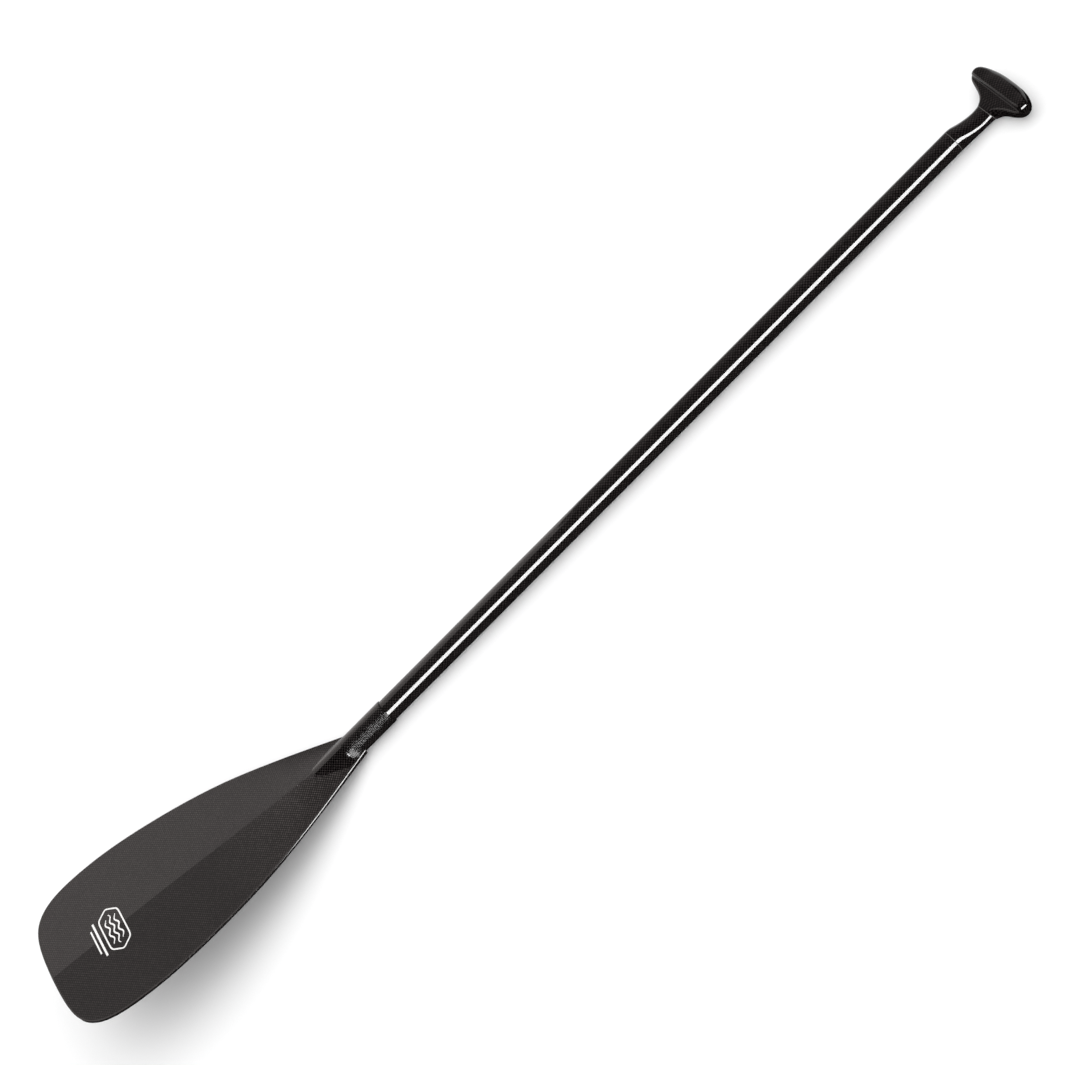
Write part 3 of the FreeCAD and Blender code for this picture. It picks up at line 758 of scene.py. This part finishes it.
def neck_section(s, ang):
    """Points (across, up from the axis) of the neck, s past the neck."""
    cy, cz = np.sin(ang), np.cos(ang)
    t, b, hf = float(N_TOP(s)), float(N_BOT(s)), float(N_HALF(s))
    y0, z0 = hf * cy, 0.5 * (t + b) + 0.5 * (t - b) * cz
    m = float(smooth(-24.0, -10.0, s))
    if m <= 0:
        return y0, z0
    u = 0.9687 * s + 2.6 * float(smooth(-24, 0, s))
    r_near = float(np.interp(u, *zip(*V_NEAR)))
    r_far = float(np.interp(u, *zip(*V_FAR)))
    ym = np.where(cy < 0, r_near, r_far) * cy
    q = np.abs(cy)
    zm = np.where(cy < 0, barrel(s, r_near * q, r_near), barrel(s, r_far * q, r_far)) - 0.14 * smooth(0.94, 1.0, q)
    # below the facet the section runs back inside the blade to the fairing underneath
    low = np.clip(-cz / 0.45, 0, 1)
    yl = ym * (1 - low) + y0 * low
    zl = (facet_height(s, np.abs(ym)) - 0.14) * (1 - low) + z0 * low
    ym = np.where(cz >= 0, ym, yl)
    zm = np.where(cz >= 0, zm, zl)
    return y0 * (1 - m) + ym * m, z0 * (1 - m) + zm * m


def neck():
    n = 300
    xs = np.concatenate([[-67.4, -67.4, -67.2, -66.7, -66.0, -65.0], np.arange(-64.6, 51, 0.34), np.linspace(52, 170, 76)])
    shrink = np.zeros(len(xs))
    shrink[:6] = [1.15, 0.62, 0.30, 0.12, 0.03, 0.0]
    ang = np.linspace(-math.pi, math.pi, n + 1)
    rng = np.random.default_rng(7)
    ragged = np.interp(ang, np.linspace(-math.pi, math.pi, 61), np.r_[rng.uniform(-0.35, 0.35, 60), 0])
    ragged[0] = ragged[-1]
    # resin lumps: each crossing sits a little differently
    lump = rng.uniform(-1, 1, (500, 90))
    verts, uvs = [], []
    for i, (x, s) in enumerate(zip(xs, shrink)):
        yy, zz = neck_section(x, ang)
        # the cut cloth at the sleeve's mouth isn't perfectly straight
        xx = x + (ragged * (1 - smooth(0, 6, x + 67.4)) if i else ragged)
        p = np.stack([NX - xx + 0 * ang, yy, ZS + zz], -1)
        ty, tz = np.gradient(yy), np.gradient(zz)
        ty[0] = ty[-1] = 0.5 * (ty[0] + ty[-1])
        tz[0] = tz[-1] = 0.5 * (tz[0] + tz[-1])
        ln = np.hypot(ty, tz) + 1e-9
        # with ang growing from below round by -Y, the way out is to the left of the path
        nrm = np.stack([np.zeros(n + 1), -tz / ln, ty / ln], -1)
        girth = np.concatenate([[0], np.cumsum(np.hypot(np.diff(yy), np.diff(zz)))])
        girth = girth - np.interp(0.0, ang, girth)
        f = float(smooth(-24, 0, x))
        cx, cyy = -xx + 0 * ang, ang * R_WRAP * (1 - f) + girth * f
        height = weave_height(cx, cyy, CELL_WRAP)
        li, lj = np.floor((cx + 300) / 1.06).astype(int) % 500, np.floor((cyy + 60) / 1.06).astype(int) % 90
        # resin pooled smooth over one shoulder, thin and rough over the other
        side = smooth(0.10, 0.70, np.cos(ang - math.radians(-80))) * (1 - 0.9 * float(smooth(-20, -9, x)))
        amp = (0.03 + 0.17 * side) * (float(smooth(-67.2, -65.5, x)) if s > 0 else 1.0)
        p = p + nrm * (amp * (height - 0.6) + 0.10 * side * lump[li, lj] - s)[:, None]
        verts.append(p)
        uvs.append(np.stack([cx, cyy], -1))
    v = np.concatenate(verts)
    uv = np.concatenate(uvs)
    rows = len(xs)
    faces = grid_faces(rows, n + 1)
    faces.append(tuple((rows - 1) * (n + 1) + j for j in range(n)))
    # an inner skin for the sleeve's own thickness, where it sits on the tube
    base = len(v)
    inner = []
    inner_uv = []
    for x in (-67.4, -24.2):
        inner.append(np.stack([np.full(n + 1, NX - x), 13.04 * np.sin(ang), ZS + 13.04 * np.cos(ang)], -1))
        inner_uv.append(np.stack([np.full(n + 1, -x), ang * 13.04], -1))
    v = np.concatenate([v] + inner)
    uv = np.concatenate([uv] + inner_uv)
    for j in range(n):
        faces.append((base + j, base + j + 1, j + 1, j))
        faces.append((base + n + 1 + j, base + n + 2 + j, base + j + 1, base + j))
    faces.append(tuple(base + n + 1 + j for j in range(n)))
    ob = mesh_object("neck_braid", v, faces, uv)
    bm = bmesh.new()
    bm.from_mesh(ob.data)
    bmesh.ops.remove_doubles(bm, verts=bm.verts, dist=1e-6)
    bmesh.ops.recalc_face_normals(bm, faces=bm.faces)
    for e in bm.edges:
        if len(e.link_faces) == 2 and e.calc_face_angle(0) > math.radians(60):
            e.smooth = False
    bm.to_mesh(ob.data)
    bm.free()
    finish_piece(ob, M_WRAP, "carbon_braid", "neck_wrap")
    ob.data.materials.append(M_WRAP_ROUGH_SHEEN)
    # the rough copy, with its painted sheen, goes on the faces turned towards the front strip light
    for f in ob.data.polygons:
        c = f.center / MM
        turned = math.degrees(math.atan2(c.y, c.z - ZS))
        f.material_index = 1 if c.x > NX + 7.5 and -165.0 < turned < -4.0 else 0
    return ob


neck()

# ---------------------------------------------------------------------------
# Grip: neck and palm
# ---------------------------------------------------------------------------
# x from the end of the tube; centre height, half width, half thickness
G_ROWS = [(-16.0, 0.0, 13.0, 13.0), (-6.0, 0.0, 13.0, 13.0), (0.6, 0.0, 13.0, 13.0), (5.0, -0.2, 13.0, 12.8), (14.0, -2.0, 12.7, 11.0),
          (24.0, -3.8, 12.4, 9.2), (34.5, -4.8, 12.3, 8.3), (44.0, -4.4, 12.9, 8.8), (52.0, -3.2, 16.5, 10.0), (58.0, -1.6, 22.5, 11.0),
          (64.0, -0.8, 29.0, 10.6), (84.0, -0.8, 33.0, 8.0)]
_C, _A, _B = (Spline([(r[0] + SHAFT_END, r[i]) for r in G_ROWS]) for i in (1, 2, 3))


def G_C(x):
    return _C(x)


def G_A(x):
    return _A(x)


def G_B(x):
    return _B(x)


def seam_x(z, extra=0.0):
    """The palm seam leans: it lies further up the grip on the underside."""
    return SEAM_X + extra - math.tan(TILT) * (z - (ZS + 3.0))


def grip_neck():
    n = 160
    rows = 70
    ang = np.linspace(-math.pi, math.pi, n + 1)
    verts, uvs = [], []
    start = SHAFT_END + GAP
    for i in range(rows):
        f = i / (rows - 1)
        z_guess = np.full(n + 1, ZS)
        for _ in range(4):
            x = start + (seam_x(z_guess) - start) * f
            z_guess = ZS + G_C(x) + G_B(x) * np.cos(ang)
        verts.append(np.stack([x, G_A(x) * np.sin(ang), z_guess], -1))
        uvs.append(np.stack([x, ang * R_SH], -1))
    v = np.concatenate(verts)
    uv = np.concatenate(uvs)
    faces = grid_faces(rows, n + 1)
    faces.append(tuple(j for j in range(n)))
    faces.append(tuple((rows - 1) * (n + 1) + j for j in range(n)))
    ob = mesh_object("grip_neck", v, faces, uv)
    bm = bmesh.new()
    bm.from_mesh(ob.data)
    bmesh.ops.remove_doubles(bm, verts=bm.verts, dist=1e-6)
    bmesh.ops.recalc_face_normals(bm, faces=bm.faces)
    for e in bm.edges:
        if len(e.link_faces) == 2 and e.calc_face_angle(0) > math.radians(50):
            e.smooth = False
    bm.to_mesh(ob.data)
    bm.free()
    finish_piece(ob, M_GRIP_NECK, "carbon_grip", "grip_neck_shell")

    # the two glue lines, a hair proud of the carbon
    for name, where, node in (("bead_shaft", "b", "glue_line_shaft"), ("bead_palm", "a", "glue_line_palm")):
        prof = [(-0.02, -0.6), (0.0, 0.02), (0.14, 0.07), (0.46, 0.07), (0.6, 0.02), (0.62, -0.6)]
        verts, uvs = [], []
        for dx, dr in prof:
            if where == "b":
                x = np.full(n + 1, SHAFT_END + dx)
                a = np.full(n + 1, R_SH) + dr
                verts.append(np.stack([x, a * np.sin(ang), ZS + a * np.cos(ang)], -1))
            else:
                z = np.full(n + 1, ZS)
                for _ in range(5):
                    x = seam_x(z, dx)
                    z = ZS + G_C(x) + (G_B(x) + dr) * np.cos(ang)
                verts.append(np.stack([x, (G_A(x) + dr) * np.sin(ang), z], -1))
            uvs.append(np.stack([np.full(n + 1, dx), ang * R_SH], -1))
        v = np.concatenate(verts)
        faces = grid_faces(len(prof), n + 1)
        for j in range(n):
            last = (len(prof) - 1) * (n + 1)
            faces.append((last + j, last + j + 1, j + 1, j))
        ob = mesh_object(name, v, faces, np.concatenate(uvs))
        bm = bmesh.new()
        bm.from_mesh(ob.data)
        bmesh.ops.remove_doubles(bm, verts=bm.verts, dist=1e-7)
        bmesh.ops.recalc_face_normals(bm, faces=bm.faces)
        bm.to_mesh(ob.data)
        bm.free()
        finish_piece(ob, M_GLUE, "glue", node)


grip_neck()


B_Y = [-45.0, -44.2, -41.5, -36.0, -27.0, -14.0, 0.0, 14.0, 27.0, 36.0, 41.5, 44.2, 45.0]


def _bar(vals):
    return Spline(list(zip(B_Y, list(vals) + list(reversed(vals[:-1])))))


BAR_X = _bar([SHAFT_END + d for d in (70.0, 70.0, 69.85, 69.8, 69.8, 69.55, 69.35)])
BAR_Z = _bar([2.7, 2.7, 2.2, 0.9, -0.9, -0.5, -0.3])
# squared radii are the smooth quantity towards a rounded end
BAR_RX2 = _bar([r * r for r in (1.7, 4.6, 8.05, 10.8, 13.6, 15.45, 15.95)])
BAR_RZ2 = _bar([r * r for r in (1.9, 5.0, 8.7, 11.4, 12.8, 13.5, 13.7)])
LIP_X = 64.1         # the upright wall at the end of the web, from the end of the tube


def smooth_min(a, b, k):
    h = np.clip(0.5 + 0.5 * (b - a) / k, 0, 1)
    return b * (1 - h) + a * h - k * h * (1 - h)


def thumb_rest(x, z):
    """Above zero in the open space over the level web, which ends at an upright wall along the bar."""
    web = (z - 5.9 + 0.12 * (SHAFT_END + LIP_X - x)) / math.sqrt(1 + 0.12 ** 2)
    return smooth_min(web, SHAFT_END + LIP_X - x, 1.2)


def palm_field(p):
    """Below zero inside the palm grip. p is (n, 3) in mm."""
    x, y, z = p[:, 0], p[:, 1], p[:, 2] - ZS
    xc = np.clip(x, SHAFT_END - 14.0, SHAFT_END + 82.0)
    a, b, c = G_A(xc), G_B(xc), G_C(xc)
    n = 2.0 + 1.4 * smooth(SHAFT_END + 42, SHAFT_END + 57, x)
    g1 = ((np.abs(y / a) ** n + np.abs((z - c) / b) ** n) ** (1 / n) - 1) * np.minimum(a, b)
    g1 = np.maximum(g1, x - (SHAFT_END + 68.0))
    yy = np.clip(y, -45.6, 45.6)
    rx = np.sqrt(np.maximum(BAR_RX2(yy), 0.02))
    rz = np.sqrt(np.maximum(BAR_RZ2(yy), 0.02))
    g2 = (np.sqrt(((x - BAR_X(yy)) / rx) ** 2 + ((z - BAR_Z(yy)) / rz) ** 2) - 1) * np.minimum(rx, rz)
    g2 = np.maximum(g2, np.abs(y) - 45.4)
    g = smooth_min(g1, g2, 5.0)
    return -smooth_min(-g, -thumb_rest(x, z), 2.6)


def palm():
    bm = bmesh.new()
    bmesh.ops.create_icosphere(bm, subdivisions=7, radius=1.0)
    bm.verts.ensure_lookup_table()
    dirs = np.array([v.co[:] for v in bm.verts])
    # more points where the shape turns: stretch the sphere before shooting the rays
    dirs = dirs * np.array([1.0, 1.7, 0.8])
    dirs /= np.linalg.norm(dirs, axis=1, keepdims=True)
    centre = np.array([SHAFT_END + 64.0, 0.0, ZS - 3.0])
    lo = np.full(len(dirs), 1.0)
    hi = np.full(len(dirs), 60.0)
    # first crossing outwards
    steps = np.linspace(1.0, 60.0, 90)
    found = np.zeros(len(dirs), bool)
    prev = np.full(len(dirs), 1.0)
    for s in steps:
        val = palm_field(centre + dirs * s)
        new = (~found) & (val > 0)
        lo[new], hi[new] = prev[new], s
        found |= new
        prev[~found] = s
    for _ in range(24):
        mid = 0.5 * (lo + hi)
        val = palm_field(centre + dirs * mid[:, None])
        inside = val <= 0
        lo = np.where(inside, mid, lo)
        hi = np.where(inside, hi, mid)
    pts = centre + dirs * (0.5 * (lo + hi))[:, None]
    for v, p in zip(bm.verts, pts):
        v.co = Vector(p * MM)
    # cut at the leaning seam, and part the two shells
    nrm = Vector((math.cos(TILT), 0, math.sin(TILT)))
    q = Vector((SEAM_X + GAP, 0, ZS + 3.0)) * MM
    res = bmesh.ops.bisect_plane(bm, geom=bm.verts[:] + bm.edges[:] + bm.faces[:], plane_co=q, plane_no=nrm, clear_inner=True)
    edges = [e for e in res["geom_cut"] if isinstance(e, bmesh.types.BMEdge)]
    bmesh.ops.holes_fill(bm, edges=edges, sides=0)
    whole = bpy.data.meshes.new("palm_tmp")
    bm.to_mesh(whole)
    bm.free()
    for name, keep_up, node in (("palm_face", True, "grip_face_shell"), ("palm_rear", False, "grip_rear_shell")):
        bm = bmesh.new()
        bm.from_mesh(whole)
        co = Vector((0, 0, (ZS - 0.5) * MM))
        no = Vector((0, 0, 1))
        res = bmesh.ops.bisect_plane(bm, geom=bm.verts[:] + bm.edges[:] + bm.faces[:], plane_co=co, plane_no=no,
                                     clear_inner=keep_up, clear_outer=not keep_up)
        edges = [e for e in res["geom_cut"] if isinstance(e, bmesh.types.BMEdge)]
        bmesh.ops.holes_fill(bm, edges=edges, sides=0)
        bmesh.ops.recalc_face_normals(bm, faces=bm.faces)
        for f in bm.faces:
            f.smooth = True
        for e in bm.edges:
            if len(e.link_faces) == 2 and e.calc_face_angle(0) > math.radians(45):
                e.smooth = False
        uv = bm.loops.layers.uv.new("cloth")
        for f in bm.faces:
            for lp in f.loops:
                c = lp.vert.co
                # cloth draped over the bar: girth one way, along the bar the other
                girth = 0.0135 * math.atan2(c.z - (ZS - 4.0) * MM, c.x - (SHAFT_END + 67.0) * MM)
                lp[uv].uv = (c.y, girth)
        me = bpy.data.meshes.new(name)
        bm.to_mesh(me)
        bm.free()
        ob = bpy.data.objects.new(name, me)
        SC.collection.objects.link(ob)
        finish_piece(ob, M_GRIP, "carbon_grip", node)
    bpy.data.meshes.remove(whole)


palm()

# ---------------------------------------------------------------------------
# Mark: a long hexagon ring, three water strokes and two plain bars
# ---------------------------------------------------------------------------
UM = 303.0


def strips():
    out = []

    def closed(points, width):
        p = np.array(points, float)
        d = np.roll(p, -1, 0) - p
        dense = []
        for a, dd in zip(p, d):
            for f in np.linspace(0, 1, 24, endpoint=False):
                dense.append(a + dd * f)
        q = np.array(dense)
        # round the corners
        for _ in range(14):
            q = 0.5 * q + 0.25 * (np.roll(q, 1, 0) + np.roll(q, -1, 0))
        t = np.roll(q, -1, 0) - np.roll(q, 1, 0)
        t /= np.linalg.norm(t, axis=1, keepdims=True)
        nn = np.c_[-t[:, 1], t[:, 0]]
        out.append((q + nn * width / 2, q - nn * width / 2, True))

    def opened(q, width, taper=0.0):
        q = np.array(q, float)
        t = np.gradient(q, axis=0)
        t /= np.linalg.norm(t, axis=1, keepdims=True)
        nn = np.c_[-t[:, 1], t[:, 0]]
        f = np.linspace(0, 1, len(q))
        wd = width * (1 - taper * np.abs(2 * f - 1) ** 3)
        out.append((q + nn * wd[:, None] / 2, q - nn * wd[:, None] / 2, False))

    du, dv = 12.9, 30.0
    closed([(UM - du, -dv + 9), (UM, -dv), (UM + du, -dv + 9), (UM + du, dv - 9), (UM, dv), (UM - du, dv - 9)], 1.7)
    for k, off in enumerate((-6.0, 0.0, 6.0)):
        span = 17.0 if k != 1 else 21.0
        v = np.linspace(-span, span, 90)
        opened(np.c_[UM + off + 1.5 * np.sin(v * math.pi / 7.0), v], 1.8, 0.6)
    for off, half, thick in ((19.5, 24.0, 2.4), (24.6, 17.0, 1.8)):
        v = np.linspace(-half, half, 60)
        opened(np.c_[UM + off + 0 * v, v], thick, 0.0)
    return out


def mark():
    verts, faces, uvs = [], [], []
    for a, b, is_closed in strips():
        n = len(a)
        base = len(verts)
        for pts, lift in ((a, 0.0), (a, 0.12), (b, 0.12), (b, 0.0)):
            for u, v in pts:
                verts.append(at(u, v, w_top(u, v) + lift - 0.01))
                uvs.append((u, v))
        m = n if is_closed else n - 1
        for i in range(m):
            j = (i + 1) % n
            for r in range(4):
                r2 = (r + 1) % 4
                faces.append((base + r * n + i, base + r * n + j, base + r2 * n + j, base + r2 * n + i))
        if not is_closed:
            faces.append(tuple(base + r * n for r in range(4)))
            faces.append(tuple(base + r * n + n - 1 for r in range(4)))
    ob = outward(mesh_object("mark_film", np.array(verts), faces, np.array(uvs), smooth_shade=False))
    return finish_piece(ob, M_MARK, "mark_film", "blade_mark")


mark()

# ---------------------------------------------------------------------------
# Studio
# ---------------------------------------------------------------------------


def floor_material():
    g = Nodes("floor_paper")
    n = g.noise(g.object_coords(), 400.0, 3.0)
    g.link(g.mix(n, (0.90, 0.90, 0.90), (0.93, 0.93, 0.93)), g.bsdf.inputs["Base Color"])
    g.bsdf.inputs["Roughness"].default_value = 0.9
    g.bsdf.inputs["Specular IOR Level"].default_value = 0.1
    return g.mat


def floor(name, y0, y1, mat, mirrored):
    """Half of the paper floor; the half in front of the paddle isn't mirrored in its resin."""
    s = 12000.0
    k = 9
    v = np.array([(x, y, 0.0) for y in np.linspace(y0, y1, 5) for x in np.linspace(-s, s, k)])
    ob = mesh_object(name, v, grid_faces(5, k))
    ob.data.materials.append(mat)
    ob.visible_glossy = mirrored
    return ob


PAPER = floor_material()
floor("studio_floor_front", -12000.0, 0.0, PAPER, False)
floor("studio_floor_back", 0.0, 12000.0, PAPER, True)


def area(name, place, aim, wide, tall, power, colour=(1, 1, 1), roll=0.0, diffuse=True, glossy=True):
    li = bpy.data.lights.new(name, "AREA")
    li.shape = "RECTANGLE"
    li.size, li.size_y = wide, tall
    li.energy = power
    li.color = colour
    ob = bpy.data.objects.new(name, li)
    SC.collection.objects.link(ob)
    z = (Vector(place) - Vector(aim)).normalized()
    x = Vector((0, 0, 1)).cross(z)
    if x.length < 1e-4:
        x = Vector((1, 0, 0))
    x.normalize()
    y = z.cross(x)
    m = Matrix((x, y, z)).transposed().to_4x4()
    m = m @ Matrix.Rotation(roll, 4, "Z")
    m.translation = Vector(place)
    ob.matrix_world = m
    ob.visible_diffuse = diffuse
    ob.visible_glossy = glossy
    ob.visible_transmission = diffuse
    return ob


def radiance(wide, tall, value):
    return value * math.pi * wide * tall


# broad soft top light: lights the floor and the cloth, and isn't mirrored in the resin
fill = area("top_soft", (0.0, 0.0, 3.2), (0.0, 0.0, 0.0), 12.0, 12.0, radiance(12.0, 12.0, 1.28), glossy=False)
fill.data.use_shadow = False
# back screens, mirrored in the blade and along the far side of the shaft
def back_panel(name, x0, x1, level, th_a=20.5, th_b=93.0, ra=2.6, rb=3.4, colour=(1.0, 0.93, 0.91)):
    t0, t1 = math.radians(th_a), math.radians(th_b)
    p0 = Vector((0, math.sin(t0), math.cos(t0))) * ra
    p1 = Vector((0, math.sin(t1), math.cos(t1))) * rb
    mid = (p0 + p1) / 2
    tall = (p1 - p0).length
    ob = area(name, mid, (0, 0, 0), x1 - x0, tall, radiance(x1 - x0, tall, level), colour=colour, diffuse=False)
    yv = (p0 - p1).normalized()
    xv = Vector((-1, 0, 0))
    zv = xv.cross(yv)
    if zv.dot(mid) < 0:
        xv, zv = -xv, -zv
    m = Matrix((xv, yv, zv)).transposed().to_4x4()
    m.translation = mid + Vector(((x0 + x1) / 2, 0, 0))
    ob.matrix_world = m
    return ob


back_panel("back_screen_a", -1.35, -0.2, 2.75)
back_panel("back_screen_c", -1.75, -1.35, 2.1)
back_panel("back_screen_d", -4.2, -1.75, 1.55)
back_panel("back_screen_b", -0.2, 4.0, 0.5)
# low long strip in front: the white line along the shaft
area("front_strip", (1.1, -2.32, 0.90), (1.1, 0, 0.014), 4.1, 1.35, radiance(4.1, 1.35, 75.0), roll=-math.radians(7), diffuse=False)

world = bpy.data.worlds.new("studio")
SC.world = world
world.use_nodes = True
wn = world.node_tree
bg = wn.nodes.get("Background") or wn.nodes.new("ShaderNodeBackground")
bg.inputs[0].default_value = (0.97, 0.97, 0.98, 1)
bg.inputs[1].default_value = 0.17
world.cycles_visibility.glossy = False

SC.view_settings.view_transform = "Standard"
SC.view_settings.look = "None"
SC.view_settings.exposure = 0.0
SC.view_settings.gamma = 1.0

bpy.context.view_layer.update()
